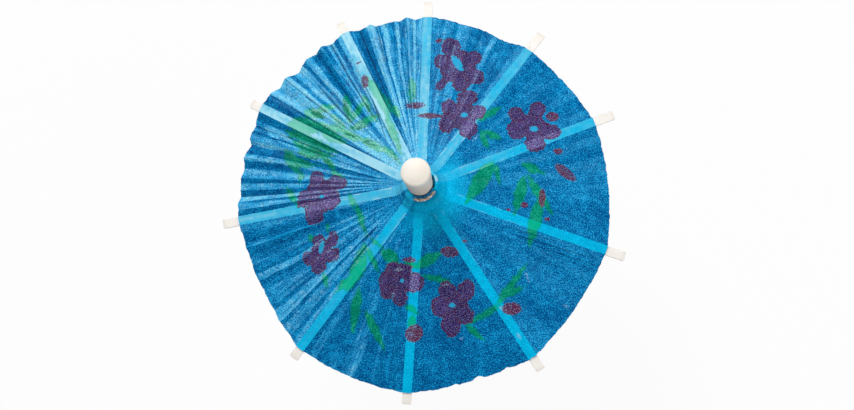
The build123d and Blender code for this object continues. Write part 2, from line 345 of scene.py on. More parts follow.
creaseShadeSet = [  # single creases painted as shade: from x, y to x, y, half width and how much
    (23, -11.6, 46, -18.2, 0.1, 0.8), (26, -13.6, 45, -19.4, 0.1, 0.7), (20, -9.4, 35, -13.6, 0.1, 0.7),
    (31, -16.4, 44.5, -20.6, 0.1, 0.6), (33, -18.6, 44, -22.6, 0.08, 0.4),
    (-11.5, -9.5, -15.5, -13.5, 0.2, 0.9), (-14.5, -14.5, -21, -22.5, 0.15, 0.8), (5.2, 40, 4.2, 26, 0.12, 0.6),
    (6.5, 44, 5.6, 37, 0.1, 0.6), (-37.3, 19.4, -11.2, 4.6, 0.12, 0.6), (-18.1, 41.2, -3, 9.7, 0.12, 0.6),
    (-18.5, 35.5, -6.5, 10.2, 0.1, 0.6), (-37.6, 22.9, -9.7, 7.2, 0.1, 0.6), (-36, 24.6, -22, 16, 0.1, 0.5),
    (-29, 31, -17, 16.8, 0.1, 0.6), (-13.6, 26, -9, 12, 0.1, 0.6),
]

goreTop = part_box("canopy_gore_01")[1].z / mm
paperApex = goreTop + canopySet["innerRadius"] * canopySet["slope"]


def panelPlace(turn, radius):
    # which panel a point is in, and its share across it from one rib's edge to the next one's
    past = (turn[:, None] - ribTurns[None, :]) % fullTurn
    index = past.argmin(axis=1)
    edge = np.arcsin(np.minimum(1, canopySet["bandWidth"] / 2 / radius))
    share = (past.min(axis=1) - edge) / (panelGaps[index] - 2 * edge)
    return index, np.clip(share, 0, 1)


def panelValue(key, index):
    return np.array([p[key] for p in panelSet])[index]


def creaseRow(share, reach, span, count, seed):
    # creases that run out from the hub, up and down in turn, each from its own start: the paper's
    # relief, about -1 to 1, painted shading along each fold, a highlight on a ridge and below 0 shade in a valley,
    # and the wear of each strip between, partly painted sheen
    f = foldSet
    dice = np.random.default_rng(seed)
    places = (np.arange(1, count + 1) + dice.uniform(-f["jitter"], f["jitter"], count)) / (count + 1)
    heights = dice.uniform(*f["heights"], count) * np.where(np.arange(count) % 2, 1, -1)
    starts = dice.uniform(0.0, f["latestStart"], count)
    ends = np.concatenate([[0], places, [1]])
    relief, line = np.zeros_like(share), np.zeros_like(share)
    for k in range(count):
        left, middle, right = ends[k], ends[k + 1], ends[k + 2]
        tent = np.minimum((share - left) / (middle - left), (right - share) / (right - middle))
        shown = smoothStep(starts[k], starts[k] + f["growth"], reach)
        relief += np.clip(tent, 0, None) * heights[k] * shown
        line += np.clip(1 - np.abs(share - middle) * span / f["lineHalf"], 0, 1) * shown * heights[k]
    wornAndSheen = dice.uniform(-1, 1, count + 1)
    wearAndSheen = (np.sign(wornAndSheen) * np.sqrt(np.abs(wornAndSheen)))[np.searchsorted(places, share)]
    return relief, line, wearAndSheen * smoothStep(0.0, f["wearAndSheenStart"], reach)


def creaseLift(index, share, radius, reach):
    # height, painted fold shading and wear of the creases, panel by panel; the wear is partly painted sheen
    f = foldSet
    lift, line, wearAndSheen = (np.zeros_like(share) for _ in range(3))
    for i, p in enumerate(panelSet):
        here = index == i
        if not here.any():
            continue
        t, s = share[here], reach[here]
        span = panelGaps[i] * radius[here]
        beside = np.minimum(t, 1 - t) * span
        stray = f["stray"] * t * (1 - t) * latticeNoise(s * 4.3, t * 2.1, seeds["stray"] + i)
        t = np.clip(t + stray, 0, 1)
        broad, broadLine, broadWearAndSheen = creaseRow(t, s, span, p["creases"], seeds["creases"] + i)
        fine, fineLine, fineWearAndSheen = creaseRow(t, s, span, p["fine"], seeds["fineCreases"] + i)
        lift[here] = broad * p["depth"] * (f["hubShare"] + (1 - f["hubShare"]) * s)
        lift[here] += fine * p["fineDepth"] * np.sin(math.pi * np.clip(s, 0, 1)) ** 0.5
        folds = broadLine * min(1, p["depth"] / f["fullDepth"])
        folds = folds + fineLine * min(f["fineMost"], p["fineDepth"] / f["fineFull"])
        line[here] = smoothStep(*f["clear"], beside) * folds
        # painted shade runs here and there along the rib's edge, as a dark crease
        broken = np.clip(0.5 + latticeNoise(s * 6, np.round(t) * 3 + i, seeds["ribEdgeShade"]), 0, 1)
        along = np.clip(1 - np.abs(beside - f["besideRib"]) / f["lineHalf"], 0, 1)
        line[here] -= f["ribEdgeShade"] * p["fade"] * broken * along
        # each strip's wear, partly painted sheen where the strips face the lamp
        wearAndSheen[here] = p["strips"] * (f["broadWearAndSheen"] * broadWearAndSheen + f["fineWearAndSheen"] * fineWearAndSheen + f["reliefWearAndSheen"] * broad)
    return lift, line, wearAndSheen


def rimAt(turn):
    # the paper's edge in each direction
    s = canopySet
    index, share = panelPlace(turn, np.full_like(turn, s["rimRadius"]))
    shiftX, shiftY = s["discShift"]
    along = shiftX * np.cos(turn) + shiftY * np.sin(turn)
    disc = along + np.sqrt(along ** 2 - shiftX ** 2 - shiftY ** 2 + s["rimRadius"] ** 2)
    past = np.array(s["rimAtRibs"])
    past = past[index] * (1 - share) + past[(index + 1) % ribCount] * share
    dips = panelValue("dip", index) * np.sin(math.pi * share) ** 0.8
    ragged = sum(deep * latticeNoise(np.degrees(turn) * rate, turn * 0, seed) for deep, rate, seed in s["rimRags"])
    out = np.full_like(turn, s["rimRadius"])
    rim = disc + past - dips + ragged + s["rimCrease"] * creaseLift(index, share, out, np.ones_like(share))[0]
    for direction, width, depth in rimNicks:
        rim -= depth * np.clip(1 - asideOf(turn, direction) / width, 0, 1) ** 0.7
    return rim


def canopyHeight(turn, radius, reach):
    # the paper's height, its painted fold shading, and how pale it is: worn dye with painted sheen
    s = canopySet
    index, share = panelPlace(turn, radius)
    half = panelGaps[index] / 2
    height = paperApex - radius * s["slope"] * np.cos(half * (1 - 2 * share)) / np.cos(half)
    away = np.sin(math.pi * share)
    height -= s["sag"] * away * np.clip(reach, 0, 1) ** 1.5
    x, y = planOf(turn, radius)
    crinkle = panelValue("crinkle", index) * away ** 0.5
    height += crinkle * sum(much * latticeNoise(x / cell, y / cell, seed) for much, cell, seed in s["crinkles"])
    height += crinkle * latticeNoise(turn * 38, radius / 4.5, seeds["ripple"])
    lift, line, wearAndSheen = creaseLift(index, share, radius, reach)
    streak = latticeNoise(turn * 70, radius / 5, seeds["streak"])
    streak = streak + 0.7 * latticeNoise(turn * 120 + x / 9, radius / 3, seeds["finerStreak"])
    streak = panelValue("strips", index) * (0.2 * streak + 0.55 * np.clip(streak - 0.1, 0, 1))
    # paleness from the panel, each strip and the streaks: worn dye with painted sheen
    fade = panelValue("fade", index) + wearAndSheen + streak
    fade = fade + np.array(hubFadeAndSheen)[index] * (1 - smoothStep(*s["hubFadeAndSheenSpan"], radius))
    # painted shade along single creases
    for *stroke, amount in creaseShadeSet:
        line = line - amount * smoothStep(0.2, 0.0, leafDistance(x, y, stroke))
    return height + lift * smoothStep(0, 0.06, away), line, fade


# Print: plum blossoms, buds and leaves, placed in plan. An oval is x, y, half length, half width and turn.
blossomSet = [
    dict(core=(9.0, 34.8, 4.0), eye=(9.0, 35.5, 2.7, 1.0, -60),
         petals=[(7.3, 40.2, 2.7, 2.3, 100), (12.9, 37.0, 2.4, 1.9, 10), (13.7, 31.5, 2.4, 2.0, -30),
                 (10.1, 29.7, 2.4, 2.1, -80), (4.6, 36.1, 2.1, 1.6, 90), (4.7, 28.8, 1.4, 1.1, 60)]),
    dict(core=(10.5, 20.0, 3.2), eye=(10.9, 20.1, 0.9, 0.7, 0),
         petals=[(11.6, 25.1, 2.6, 2.0, 15), (7.1, 22.3, 2.2, 1.9, 120), (6.4, 17.7, 2.6, 1.9, 80),
                 (11.9, 16.2, 2.6, 2.2, 80), (14.5, 21.1, 2.0, 1.8, 0)]),
    dict(core=(28.6, 17.2, 3.0), eye=(29.1, 16.6, 1.0, 0.8, 0),
         petals=[(30.0, 22.0, 2.2, 1.9, 60), (24.5, 20.7, 2.1, 1.7, 150), (24.7, 16.3, 2.6, 2.3, 80),
                 (33.0, 16.0, 2.7, 1.9, -10), (29.3, 12.7, 2.5, 2.2, 10)]),
    dict(core=(-26.8, -0.8, 3.6), eye=(-26.5, -1.0, 0.6, 0.5, 0),
         petals=[(-28.0, 4.0, 2.1, 1.7, 100), (-22.3, 2.5, 2.6, 1.7, -15), (-31.4, -1.2, 2.4, 1.6, 80),
                 (-24.2, -1.8, 2.7, 2.5, 60), (-28.6, -5.6, 2.6, 2.3, -80)]),
    dict(core=(-26.6, -15.6, 2.3), eye=(-26.5, -14.0, 1.7, 0.6, 75),
         petals=[(-27.2, -12.7, 1.8, 1.5, 110), (-23.5, -12.4, 1.9, 1.3, 80), (-23.7, -16.2, 2.0, 1.6, 20),
                 (-27.4, -18.8, 2.1, 1.9, -80), (-30.0, -16.8, 1.9, 1.4, 100)]),
    dict(core=(-6.2, -23.5, 2.8), eye=(-5.3, -23.4, 0.5, 0.5, 0),
         petals=[(-7.5, -20.4, 2.1, 1.6, 20), (-9.2, -23.6, 2.6, 1.9, 85), (-5.9, -27.5, 2.0, 1.7, -80),
                 (-9.2, -26.3, 1.6, 1.4, 0), (-2.3, -23.9, 2.4, 2.3, 0), (-4.4, -20.7, 1.9, 1.4, -20)]),
    dict(core=(7.5, -29.6, 3.2), eye=(7.4, -29.6, 0.8, 0.6, 0),
         petals=[(6.2, -25.9, 2.1, 1.9, 140), (11.1, -25.9, 2.5, 1.9, 75), (4.2, -29.9, 2.3, 1.9, 85),
                 (10.4, -32.0, 2.3, 2.1, -30), (7.0, -34.7, 2.5, 2.2, -80)]),
]
budSet = [
    (-15.7, 30.7, 2.1, 1.0, 100), (-2.0, 23.0, 2.6, 1.0, 0), (33.9, 20.2, 1.7, 1.4, 0),
    (35.2, 10.6, 1.2, 0.8, 0), (37.0, 5.0, 3.3, 1.3, -38), (30.8, -2.0, 2.4, 0.9, 85),
    (26.2, -4.0, 0.9, 0.8, 0), (22.0, -5.5, 0.6, 0.4, 0), (32.0, -7.6, 0.7, 0.5, 0), (4.0, 42.3, 0.9, 0.7, 20),
    (7.0, -16.3, 2.3, 1.3, -5), (22.5, -30.5, 2.5, 1.6, 0), (-2.4, -36.6, 2.4, 2.1, 40),
    (10.9, -13.6, 0.5, 0.4, 0), (-3.3, -18.2, 1.7, 0.7, -5), (-17.8, 36.4, 0.9, 0.3, 30),
]
leafSet = [  # from x, y to x, y, and half width
    (-32.4, 23.6, -26.2, 20.8, 1.4), (-29, 22.8, -22.8, 24.6, 1.3), (-21, 27.6, -19.2, 17.6, 1.1),
    (-15, 25.8, -20.4, 18, 1.0), (-16.4, 27, -13.8, 21.6, 0.9), (-19.4, 17, -10.8, 21, 1.2),
    (-36, 21.4, -19, 15.6, 1.3), (-37, 20, -27.6, 16.8, 1.5), (-27.2, 17, -19.8, 13, 1.5),
    (-25, 18.8, -16.2, 14.4, 1.0), (-21.6, 15.6, -13.8, 13.4, 0.9), (-16.2, 14.4, -9, 9.8, 1.2),
    (-10.2, 12, -5.2, 6.2, 0.9), (-15.6, 32.8, -10.8, 23.2, 0.9), (-14, 31.4, -8.2, 18, 1.1),
    (-10.2, 22, -5, 8.4, 1.0), (-11.2, 27, -8.2, 21, 1.1), (-8.4, 23.4, -5.8, 19.6, 1.1),
    (-3, 31.4, -3, 22.6, 1.1), (-37.4, 18.2, -21.6, 10.4, 1.4), (-35.2, 15, -24.2, 9, 1.5),
    (-33.6, 11.8, -25, 9.4, 1.3), (-37.4, 12.8, -32.4, 5.2, 1.6), (-34.8, 9.8, -29, 7.2, 1.2),
    (-26.4, 10.2, -22.8, 5.8, 0.9), (-24.4, 6.4, -19.6, 2.2, 0.9), (-36.5, 2.5, -33, -3.5, 0.9),
    (-19, -0.5, -17.5, -5.5, 0.7), (-32, 6, -33, 3, 0.8), (-24.6, 21.6, -20.2, 17.4, 0.9),
    (-30.4, 19.4, -24.4, 18.2, 0.9), (20.5, 22.5, 13.5, 18, 1.0), (20.5, 13.5, 15, 16, 1.0),
    (15, 16, 17.5, 9.5, 0.8), (18.5, 7.5, 11, -4.5, 2.0), (19, 6.5, 20, 1, 0.7), (25.5, 7, 31.5, 4.5, 1.2),
    (26.5, 4, 23.5, -7, 1.5), (27, 4, 33.5, -6.5, 1.2), (30.5, -1.5, 27, -15.5, 1.7),
    (5, -16.5, -3, -20.5, 1.4), (-0.5, -22, 8, -24, 0.8), (18.5, -30, 26.5, -19, 1.0),
    (20.5, -27.5, 26.5, -24.5, 0.8), (20, -29.5, 10, -35, 0.9), (10.5, -34, 15.8, -38.8, 0.9),
    (-4.5, -29.5, -1, -32, 0.9), (-17.5, -3, -14.2, -12.5, 0.8), (-14.5, -13.5, -19.5, -23, 1.0),
    (-14.4, -16.6, -20.2, -26.2, 1.8), (-18, -22, -23, -26, 1.1), (-13.4, -12.2, -9.5, -15.8, 0.5),
    (-14.8, -14, -11, -21.6, 0.8), (-10.5, -15.5, -5.5, -19.5, 1.6), (-2.6, -32, -3.4, -36, 1.0),
    (-16.5, -24.5, -18.6, -37, 1.3), (-15, -30.5, -10, -41, 1.2), (-26, -20.5, -25, -25, 0.8),
    (-5, -18.5, -1, -20.5, 1.0), (-30, -10.5, -28.5, -13, 0.6), (-25, -8, -25, -10.5, 0.6),
    (-34.5, 0, -33, -3, 0.7), (-3.8, -18.4, -2, -19.4, 0.8),
]
sprigSet = [  # darker strokes in the leaves
    (-30.4, 22.9, -26.3, 20.7, 0.75), (-28.8, 24.1, -24.4, 21.6, 0.2), (-21.3, 26.2, -19.8, 19.7, 0.6),
    (-19.8, 19.7, -17.5, 15, 0.25), (-18.1, 17, -14.2, 17.7, 0.3), (-15.6, 24.8, -12.3, 18.9, 0.45),
    (-18.5, 21.3, -15.8, 24, 0.2), (-32.6, 21.4, -29.6, 20.2, 0.25), (-31.4, 19.9, -23.2, 16.6, 0.35),
    (-25.5, 17.2, -20.6, 13.7, 0.3), (-21, 16.3, -17.3, 14.6, 0.3), (-15.6, 13.4, -10.8, 11.3, 0.3),
    (-30.8, 12.1, -22.9, 9.5, 0.85), (-29.5, 14.6, -22.6, 10.4, 0.45), (-36.8, 11.9, -32.8, 7.6, 0.6),
    (-34.2, 9.7, -26.4, 7.4, 0.3), (-26.2, 9.2, -23, 6.6, 0.5), (-36.8, 16.3, -33, 16.2, 0.7),
    (-8.3, 17.5, -4.6, 9, 0.25), (-9.6, 19.6, -5.6, 9, 0.15),
]
stemSet = [(-1.5, 20, 6.5, 19.8, 0.8)]
scuffSet = [  # pale rubs, as the leaves are given
    (26.2, -21, 27, -24, 0.25), (23.4, -36.6, 25, -38.2, 0.45), (19.4, -29.8, 20.4, -31.2, 0.35),
    (35.6, -29.4, 37.4, -30, 0.3), (9, -38.2, 10.6, -37.4, 0.25), (4.6, -24.6, 6.8, -24.4, 0.25),
    (-19.2, -14.2, -17.8, -14.9, 0.3), (13, 12.6, 14.6, 14.6, 0.25), (-7.4, -20.6, -4.6, -20.6, 0.4),
    (-8, -26.2, -7, -27.4, 0.3),
]
foldHighlightSet = [  # folds painted lighter, as highlights: from x, y to x, y, half width and how much
    (-43.5, 19.8, -32.5, 12, 1.3, 0.5), (-14.6, -37.5, -20.4, -50, 0.8, 0.4),
    (-10.8, -41, -12.2, -53, 0.7, 0.22), (-38, 27, -30, 24.5, 1.0, 0.35), (13, 44, 15.5, 39.5, 1.4, 0.3),
    (-22, -9, -16, -5.5, 0.8, 0.3), (-33, -24, -26, -21.5, 0.7, 0.2),
]
inkSet = dict(farOff=9.0, core=1.25, petalLength=1.1, petalWidth=1.12, stalk=0.95)


def ovalDistance(x, y, oval):
    # rough distance in millimetres to an oval's edge, below 0 inside it
    middleX, middleY, halfLength, halfWidth, turn = oval
    cosine, sine = math.cos(math.radians(turn)), math.sin(math.radians(turn))
    along = (x - middleX) * cosine + (y - middleY) * sine
    across = (y - middleY) * cosine - (x - middleX) * sine
    return (np.hypot(along / halfLength, across / halfWidth) - 1) * min(halfLength, halfWidth)


def strokePlace(x, y, startX, startY, endX, endY):
    # share along a stroke, and distance to its middle line
    spanX, spanY = endX - startX, endY - startY
    along = np.clip(((x - startX) * spanX + (y - startY) * spanY) / (spanX ** 2 + spanY ** 2), 0, 1)
    return along, np.hypot(x - startX - along * spanX, y - startY - along * spanY)


def leafDistance(x, y, leaf):
    # rough distance to a leaf's edge, below 0 inside it
    along, across = strokePlace(x, y, *leaf[:4])
    return across - leaf[4] * np.sin(math.pi * along ** 0.8)


def nearest(x, y, distance, shapes):
    return np.min([distance(x, y, shape) for shape in shapes], axis=0)


def printFields(x, y):
    # distances that the paper's material turns into ink
    s = inkSet
    bloom, petalEdge = np.full_like(x, s["farOff"]), np.full_like(x, s["farOff"])
    for b in blossomSet:
        middleX, middleY, reach = b["core"]
        bloom = np.minimum(bloom, np.hypot(x - middleX, y - middleY) - s["core"] * reach)
        for petalX, petalY, halfLength, halfWidth, turn in b["petals"]:
            oval = (petalX, petalY, s["petalLength"] * halfLength, s["petalWidth"] * halfWidth, turn)
            gap = ovalDistance(x, y, oval)
            stalk = strokePlace(x, y, middleX, middleY, petalX, petalY)[1] - s["stalk"] * min(halfLength, halfWidth)
            bloom = np.minimum(bloom, np.minimum(gap, stalk))
            petalEdge = np.minimum(petalEdge, np.abs(gap))
    buds, stems = nearest(x, y, ovalDistance, budSet), nearest(x, y, leafDistance, stemSet)
    fields = {"bloom": bloom, "petalEdge": petalEdge, "bud": np.minimum(buds, stems)}
    fields["eye"] = nearest(x, y, ovalDistance, [b["eye"] for b in blossomSet])
    for name, strokes in (("leaf", leafSet), ("sprig", sprigSet), ("scuff", scuffSet)):
        fields[name] = nearest(x, y, leafDistance, strokes)
    return fields


def foldHighlights(x, y):
    pale = np.zeros_like(x)
    for *stroke, amount in foldHighlightSet:
        pale = np.maximum(pale, amount * smoothStep(0.25, -0.25, leafDistance(x, y, stroke)))
    return pale


# Paper: dyed blue and mottled, paler where card lies behind it and where the dye is worn, with painted sheen on the
# parts that face the lamp, painted light near the hub, painted shade in folds and crinkles, and a soft sheen of its
# own
paperSet = dict(
    web=[(0.0, (0, 70, 132)), (0.21, (0, 124, 186)), (0.42, (22, 162, 224)), (0.62, (72, 188, 234)),
         (0.8, (114, 212, 244)), (1.0, (160, 234, 252))],
    leaf=[(0.0, (0, 122, 88)), (0.21, (0, 160, 122)), (0.42, (28, 174, 136)), (0.57, (80, 190, 156)),
          (0.85, (144, 226, 196)), (1.0, (170, 236, 218))],
    backedDark=(0, 172, 222), backedLight=(2, 204, 252),
    backedWornAndSheen=(112, 198, 228), backedPale=(166, 226, 246),
    leafBacked=(2, 188, 146), leafPale=(112, 206, 186), leafEdge=(0, 100, 84),
    sprigDark=(0, 112, 78), sprigLight=(20, 164, 112),
    bloomDark=(42, 26, 86), bloomLight=(94, 78, 150),
    bloomWornAndSheen=(156, 116, 176), bloomEdge=(80, 14, 52), budRed=(98, 18, 58),
    eyePale=(40, 168, 216), speckAndRidgeHighlight=(16, 180, 240), wornSpeckAndGlint=(170, 224, 248),
    # the darkest blue is used only for painted shade: in folds, fine crinkles and shaded sheets
    scuff=(176, 214, 240), paintedShadeBlue=(0, 44, 96),
    specular=0.05, relief=(0.000008, 0.8), cells=44.0, wander=40.0, wanderReach=(0.03, 0.03, 0.03),
    softEdge=dict(leaf=0.38, sprig=0.2, bloom=0.14, eye=0.14, bud=0.14, scuff=0.25),
)
# The paper's noises, as scale, detail and roughness
paperNoise = dict(
    grain=(300, 1.0, 0.6), blotch=(55, 3.0, 0.6), cloud=(13, 2.0, 0.5), specks=(400, 0.5, 0.5),
    fray=(150, 2.0, 0.6), rag=(62, 2.0, 0.5), mottle=(210, 2.0, 0.6), breaks=(34, 2.0, 0.5),
)
# Where each effect starts and is full, and for some what it then goes from and to
paperSpan = dict(
    tone=(0.47, 0.6), specks=(0.57, 0.65), rubbedAndLit=(0.08, 0.95), backedPale=(0.5, 1.1),
    veins=(-0.5, -0.15), mottle=(0.5, 0.62), patchy=(0.35, 0.6, 0.25, 1.0), petalLine=(0.42, 0.05),
    bloomRim=(-0.75, -0.15), bloomSpecks=(0.1, 0.6, 0.25, 0.65), budRed=(0.35, 0.6),
    scuff=(0.42, 0.6, 0.0, 0.6), breaks=(0.44, 0.6), wornAndSheen=(0.05, 0.5), crinkleShade=(0.07, 0.0),
    crinkleHighlight=(0.05, 0.13), crinkleHighlightEnd=(0.24, 0.13), ridge=(0.15, 0.9), valley=(-0.15, -0.9),
    roughness=(0.3, 0.7, 0.22, 0.38),
)
# How much of each effect shows
paperShare = dict(
    grain=0.6, blotch=0.25, cloud=0.15, tone=0.42, fade=0.58, specks=0.6, specksBacked=0.5,
    fray=0.9, rag=1.5, leafBacked=0.85, veins=0.24, leaf=0.94, sprig=0.8, sprigBacked=0.4,
    mottle=0.7, bloomBacked=0.6, bloomFadedAndSheen=0.75, petalFray=0.5, petalLine=0.55, bloomRim=0.8,
    budSpecks=0.35, bud=0.93, crinkleHighlight=0.35, crinkleShade=0.5, ridge=0.5, valley=0.76,
)


def paperMaterial(name, s, printed):
    material, tree, shader = newMaterial(name)
    place = addNode(tree, "ShaderNodeUVMap").outputs[0]

    def layer(key):
        return noise(tree, place, *paperNoise[key])

    def span(value, key):
        return between(tree, value, *paperSpan[key])

    def part(value, key):
        return multiply(tree, value, paperShare[key])

    def plus(first, second):
        return compute(tree, "ADD", first, second)

    def minus(first, second):
        return compute(tree, "SUBTRACT", first, second)

    def greater(first, second):
        return compute(tree, "MAXIMUM", first, second)

    def mix(share, first, second):
        return mixColour(tree, share, first, second)

    grain, blotch, cloud = layer("grain"), layer("blotch"), layer("cloud")
    tone = span(plus(part(grain, "grain"), plus(part(blotch, "blotch"), part(cloud, "cloud"))), "tone")
    specks = span(layer("specks"), "specks")
    # the backing makes the paper paler over card and crown, and near the hub it is partly painted light
    backing, fade = attribute(tree, "backing"), attribute(tree, "fade")
    # the paleness lifts the web colour up its ramp towards pale lavender blue: worn dye with painted sheen
    pale = plus(part(tone, "tone"), part(fade, "fade"))
    # where the paper is pale, the bands, leaves and petals take paler colours: worn dye with painted sheen
    rubbedAndLit = span(fade, "rubbedAndLit")
    backed = mix(rubbedAndLit, mix(tone, s["backedDark"], s["backedLight"]),
                 mix(span(fade, "backedPale"), s["backedWornAndSheen"], s["backedPale"]))
    colour = mix(backing, ramp(tree, pale, s["web"]), backed)
    # the paper's specks, whiter where it is pale as painted glints; the same colour paints highlights on the fold
    # ridges
    speckAndRidgeHighlight = mix(fade, s["speckAndRidgeHighlight"], s["wornSpeckAndGlint"])
    unbacked = minus(paperShare["specks"], part(backing, "specksBacked"))
    colour = mix(multiply(tree, specks, unbacked), colour, speckAndRidgeHighlight)
    frayed = part(minus(layer("fray"), 0.5), "fray")
    ragged = plus(frayed, part(minus(layer("rag"), 0.5), "rag"))

    def ink(field, wobble):
        edge = s["softEdge"][field]
        return between(tree, plus(attribute(tree, field), wobble), edge, -edge)

    if printed:
        leafBacked = mix(rubbedAndLit, s["leafBacked"], s["leafPale"])
        leaf = mix(part(backing, "leafBacked"), ramp(tree, pale, s["leaf"]), leafBacked)
        veins = span(plus(attribute(tree, "leaf"), ragged), "veins")
        leaf = mix(part(veins, "veins"), leaf, s["leafEdge"])
        colour = mix(part(ink("leaf", ragged), "leaf"), colour, leaf)
        sprig = mix(tone, s["sprigDark"], s["sprigLight"])
        unbacked = minus(paperShare["sprig"], part(backing, "sprigBacked"))
        colour = mix(multiply(tree, ink("sprig", ragged), unbacked), colour, sprig)
        petals = mix(tone, s["bloomDark"], s["bloomLight"])
        petals = mix(part(span(layer("mottle"), "mottle"), "mottle"), petals, s["bloomEdge"])
        # petals are paler over card and where the paper is pale, partly painted sheen
        lighter = greater(part(backing, "bloomBacked"), part(fade, "bloomFadedAndSheen"))
        petals = mix(lighter, petals, mix(tone, s["bloomLight"], s["bloomWornAndSheen"]))
        outline = span(plus(attribute(tree, "petalEdge"), part(ragged, "petalFray")), "petalLine")
        rim = span(plus(attribute(tree, "bloom"), ragged), "bloomRim")
        outline = multiply(tree, greater(part(outline, "petalLine"), part(rim, "bloomRim")), span(blotch, "patchy"))
        petals = mix(outline, petals, s["bloomEdge"])
        petals = mix(multiply(tree, specks, span(lighter, "bloomSpecks")), petals, s["scuff"])
        colour = mix(ink("bloom", ragged), colour, petals)
        colour = mix(ink("eye", frayed), colour, s["eyePale"])
        bud = mix(span(blotch, "budRed"), petals, s["budRed"])
        bud = mix(part(specks, "budSpecks"), bud, s["scuff"])
        colour = mix(part(ink("bud", frayed), "bud"), colour, bud)
        colour = mix(multiply(tree, ink("scuff", frayed), span(grain, "scuff")), colour, s["scuff"])

    # painted shade along fine crinkles where the paper is pale and not backed, with a painted highlight beside each,
    # then the folds
    wander = addNode(tree, "ShaderNodeTexNoise", None, Vector=place, Scale=s["wander"], Detail=2.0).outputs["Color"]
    strayed = addNode(tree, "ShaderNodeVectorMath", {"operation": "MULTIPLY_ADD"})
    for socket, value in zip(strayed.inputs, (wander, s["wanderReach"], place)):
        setInput(tree, socket, value)
    cells = addNode(tree, "ShaderNodeTexVoronoi", {"feature": "DISTANCE_TO_EDGE"}, Vector=strayed.outputs[0],
                    Scale=s["cells"]).outputs["Distance"]
    broken = multiply(tree, span(layer("breaks"), "breaks"), span(fade, "wornAndSheen"))
    broken = multiply(tree, broken, minus(1.0, backing))
    beside = multiply(tree, span(cells, "crinkleHighlight"), span(cells, "crinkleHighlightEnd"))
    colour = mix(part(multiply(tree, beside, broken), "crinkleHighlight"), colour, s["wornSpeckAndGlint"])
    crinkleShade = multiply(tree, span(cells, "crinkleShade"), broken)
    colour = mix(part(crinkleShade, "crinkleShade"), colour, s["paintedShadeBlue"])
    # painted highlights on the fold ridges, painted shade in the fold valleys and wherever the sheets carry painted
    # shade
    line = attribute(tree, "line")
    colour = mix(part(span(line, "ridge"), "ridge"), colour, speckAndRidgeHighlight)
    dark = greater(part(span(line, "valley"), "valley"), attribute(tree, "shade"))
    setInputs(tree, shader, Base_Color=mix(dark, colour, s["paintedShadeBlue"]), Roughness=span(blotch, "roughness"),
              Specular_IOR_Level=s["specular"], Normal=bump(tree, tone, *s["relief"]))
    return material


printedPaper = paperMaterial("printedPaper", paperSet, True)
paperUnderside = paperMaterial("paperUnderside", paperSet, False)


def addGrid(name, across, along):
    # a flat grid to shape, with each point's shares across and along it
    bpy.ops.object.select_all(action="DESELECT")
    bpy.ops.mesh.primitive_grid_add(x_subdivisions=across, y_subdivisions=along, size=1)
    piece = bpy.context.object
    piece.name = piece.data.name = name
    flat = np.empty(len(piece.data.vertices) * 3)
    piece.data.vertices.foreach_get("co", flat)
    flat = flat.reshape(-1, 3)
    return piece, flat[:, 0] + 0.5, flat[:, 1] + 0.5


def shapeSheet(piece, turn, radius, height, **marks):
    # puts a grid's points in place, with the print's fields and a plan map of the paper
    x, y = planOf(turn, radius)
    places = np.column_stack([x, y, height]).astype(np.float32).ravel()
    piece.data.vertices.foreach_set("co", places * mm)
    # the paleness takes the painted highlights along folds
    marks["fade"] = np.clip(marks["fade"] + foldHighlights(x, y), 0, 1)
    for name, values in {**printFields(x, y), **marks}.items():
        made = piece.data.attributes.new(name, "FLOAT", "POINT")
        made.data.foreach_set("value", np.broadcast_to(values, x.shape).astype(np.float32))
    corners = np.empty(len(piece.data.loops), np.int32)
    piece.data.loops.foreach_get("vertex_index", corners)
    plan = np.column_stack([x, y]) / 100 + 0.5
    piece.data.uv_layers.active.data.foreach_set("uv", plan[corners].astype(np.float32).ravel())
    piece.data.update()


def thicken(piece, thickness):
    # gives a sheet its thickness below, with the plain underside on its second material
    piece.data.materials.append(printedPaper)
    piece.data.materials.append(paperUnderside)
    selectOnly(piece)
    made = piece.modifiers.new("thickness", "SOLIDIFY")
    made.thickness, made.offset = thickness * mm, -1.0
    made.material_offset, made.material_offset_rim = 1, 0
    bpy.ops.object.modifier_apply(modifier=made.name)
    bpy.ops.object.shade_smooth_by_angle(angle=math.radians(35))


# Paper backed by the crown near the hub, with painted light over the finial's shadow
hubLightSet = dict(turn=-30, least=0.1, most=0.85, aside=(50, 115), radius=(6.5, 15.5))
bandSet = dict(streak=0.05, paleStreak=0.3, rubAndHighlight=0.7, rubWidth=0.18, rubRadius=(14, 34))


def hubBackingAndPaintedLight(turn, radius):
    # near the hub the crown backs the paper, where it lies flat on it: at the lower right; it is turned there and
    # widened as painted light over the finial's shadow
    s = hubLightSet
    lit = s["least"] + s["most"] * (1 - smoothStep(*s["aside"], asideOf(turn, s["turn"])))
    return lit * (1 - smoothStep(*s["radius"], radius))


def paperRadius(turn, along):
    return canopySet["innerRadius"] + along * (rimAt(turn) - canopySet["innerRadius"])


def bandEdge(i, along):
    # half the angle that a rib's band takes up, from the hub out
    return np.arcsin(canopySet["bandWidth"] / 2 / paperRadius(ribTurns[i:i + 1], along))


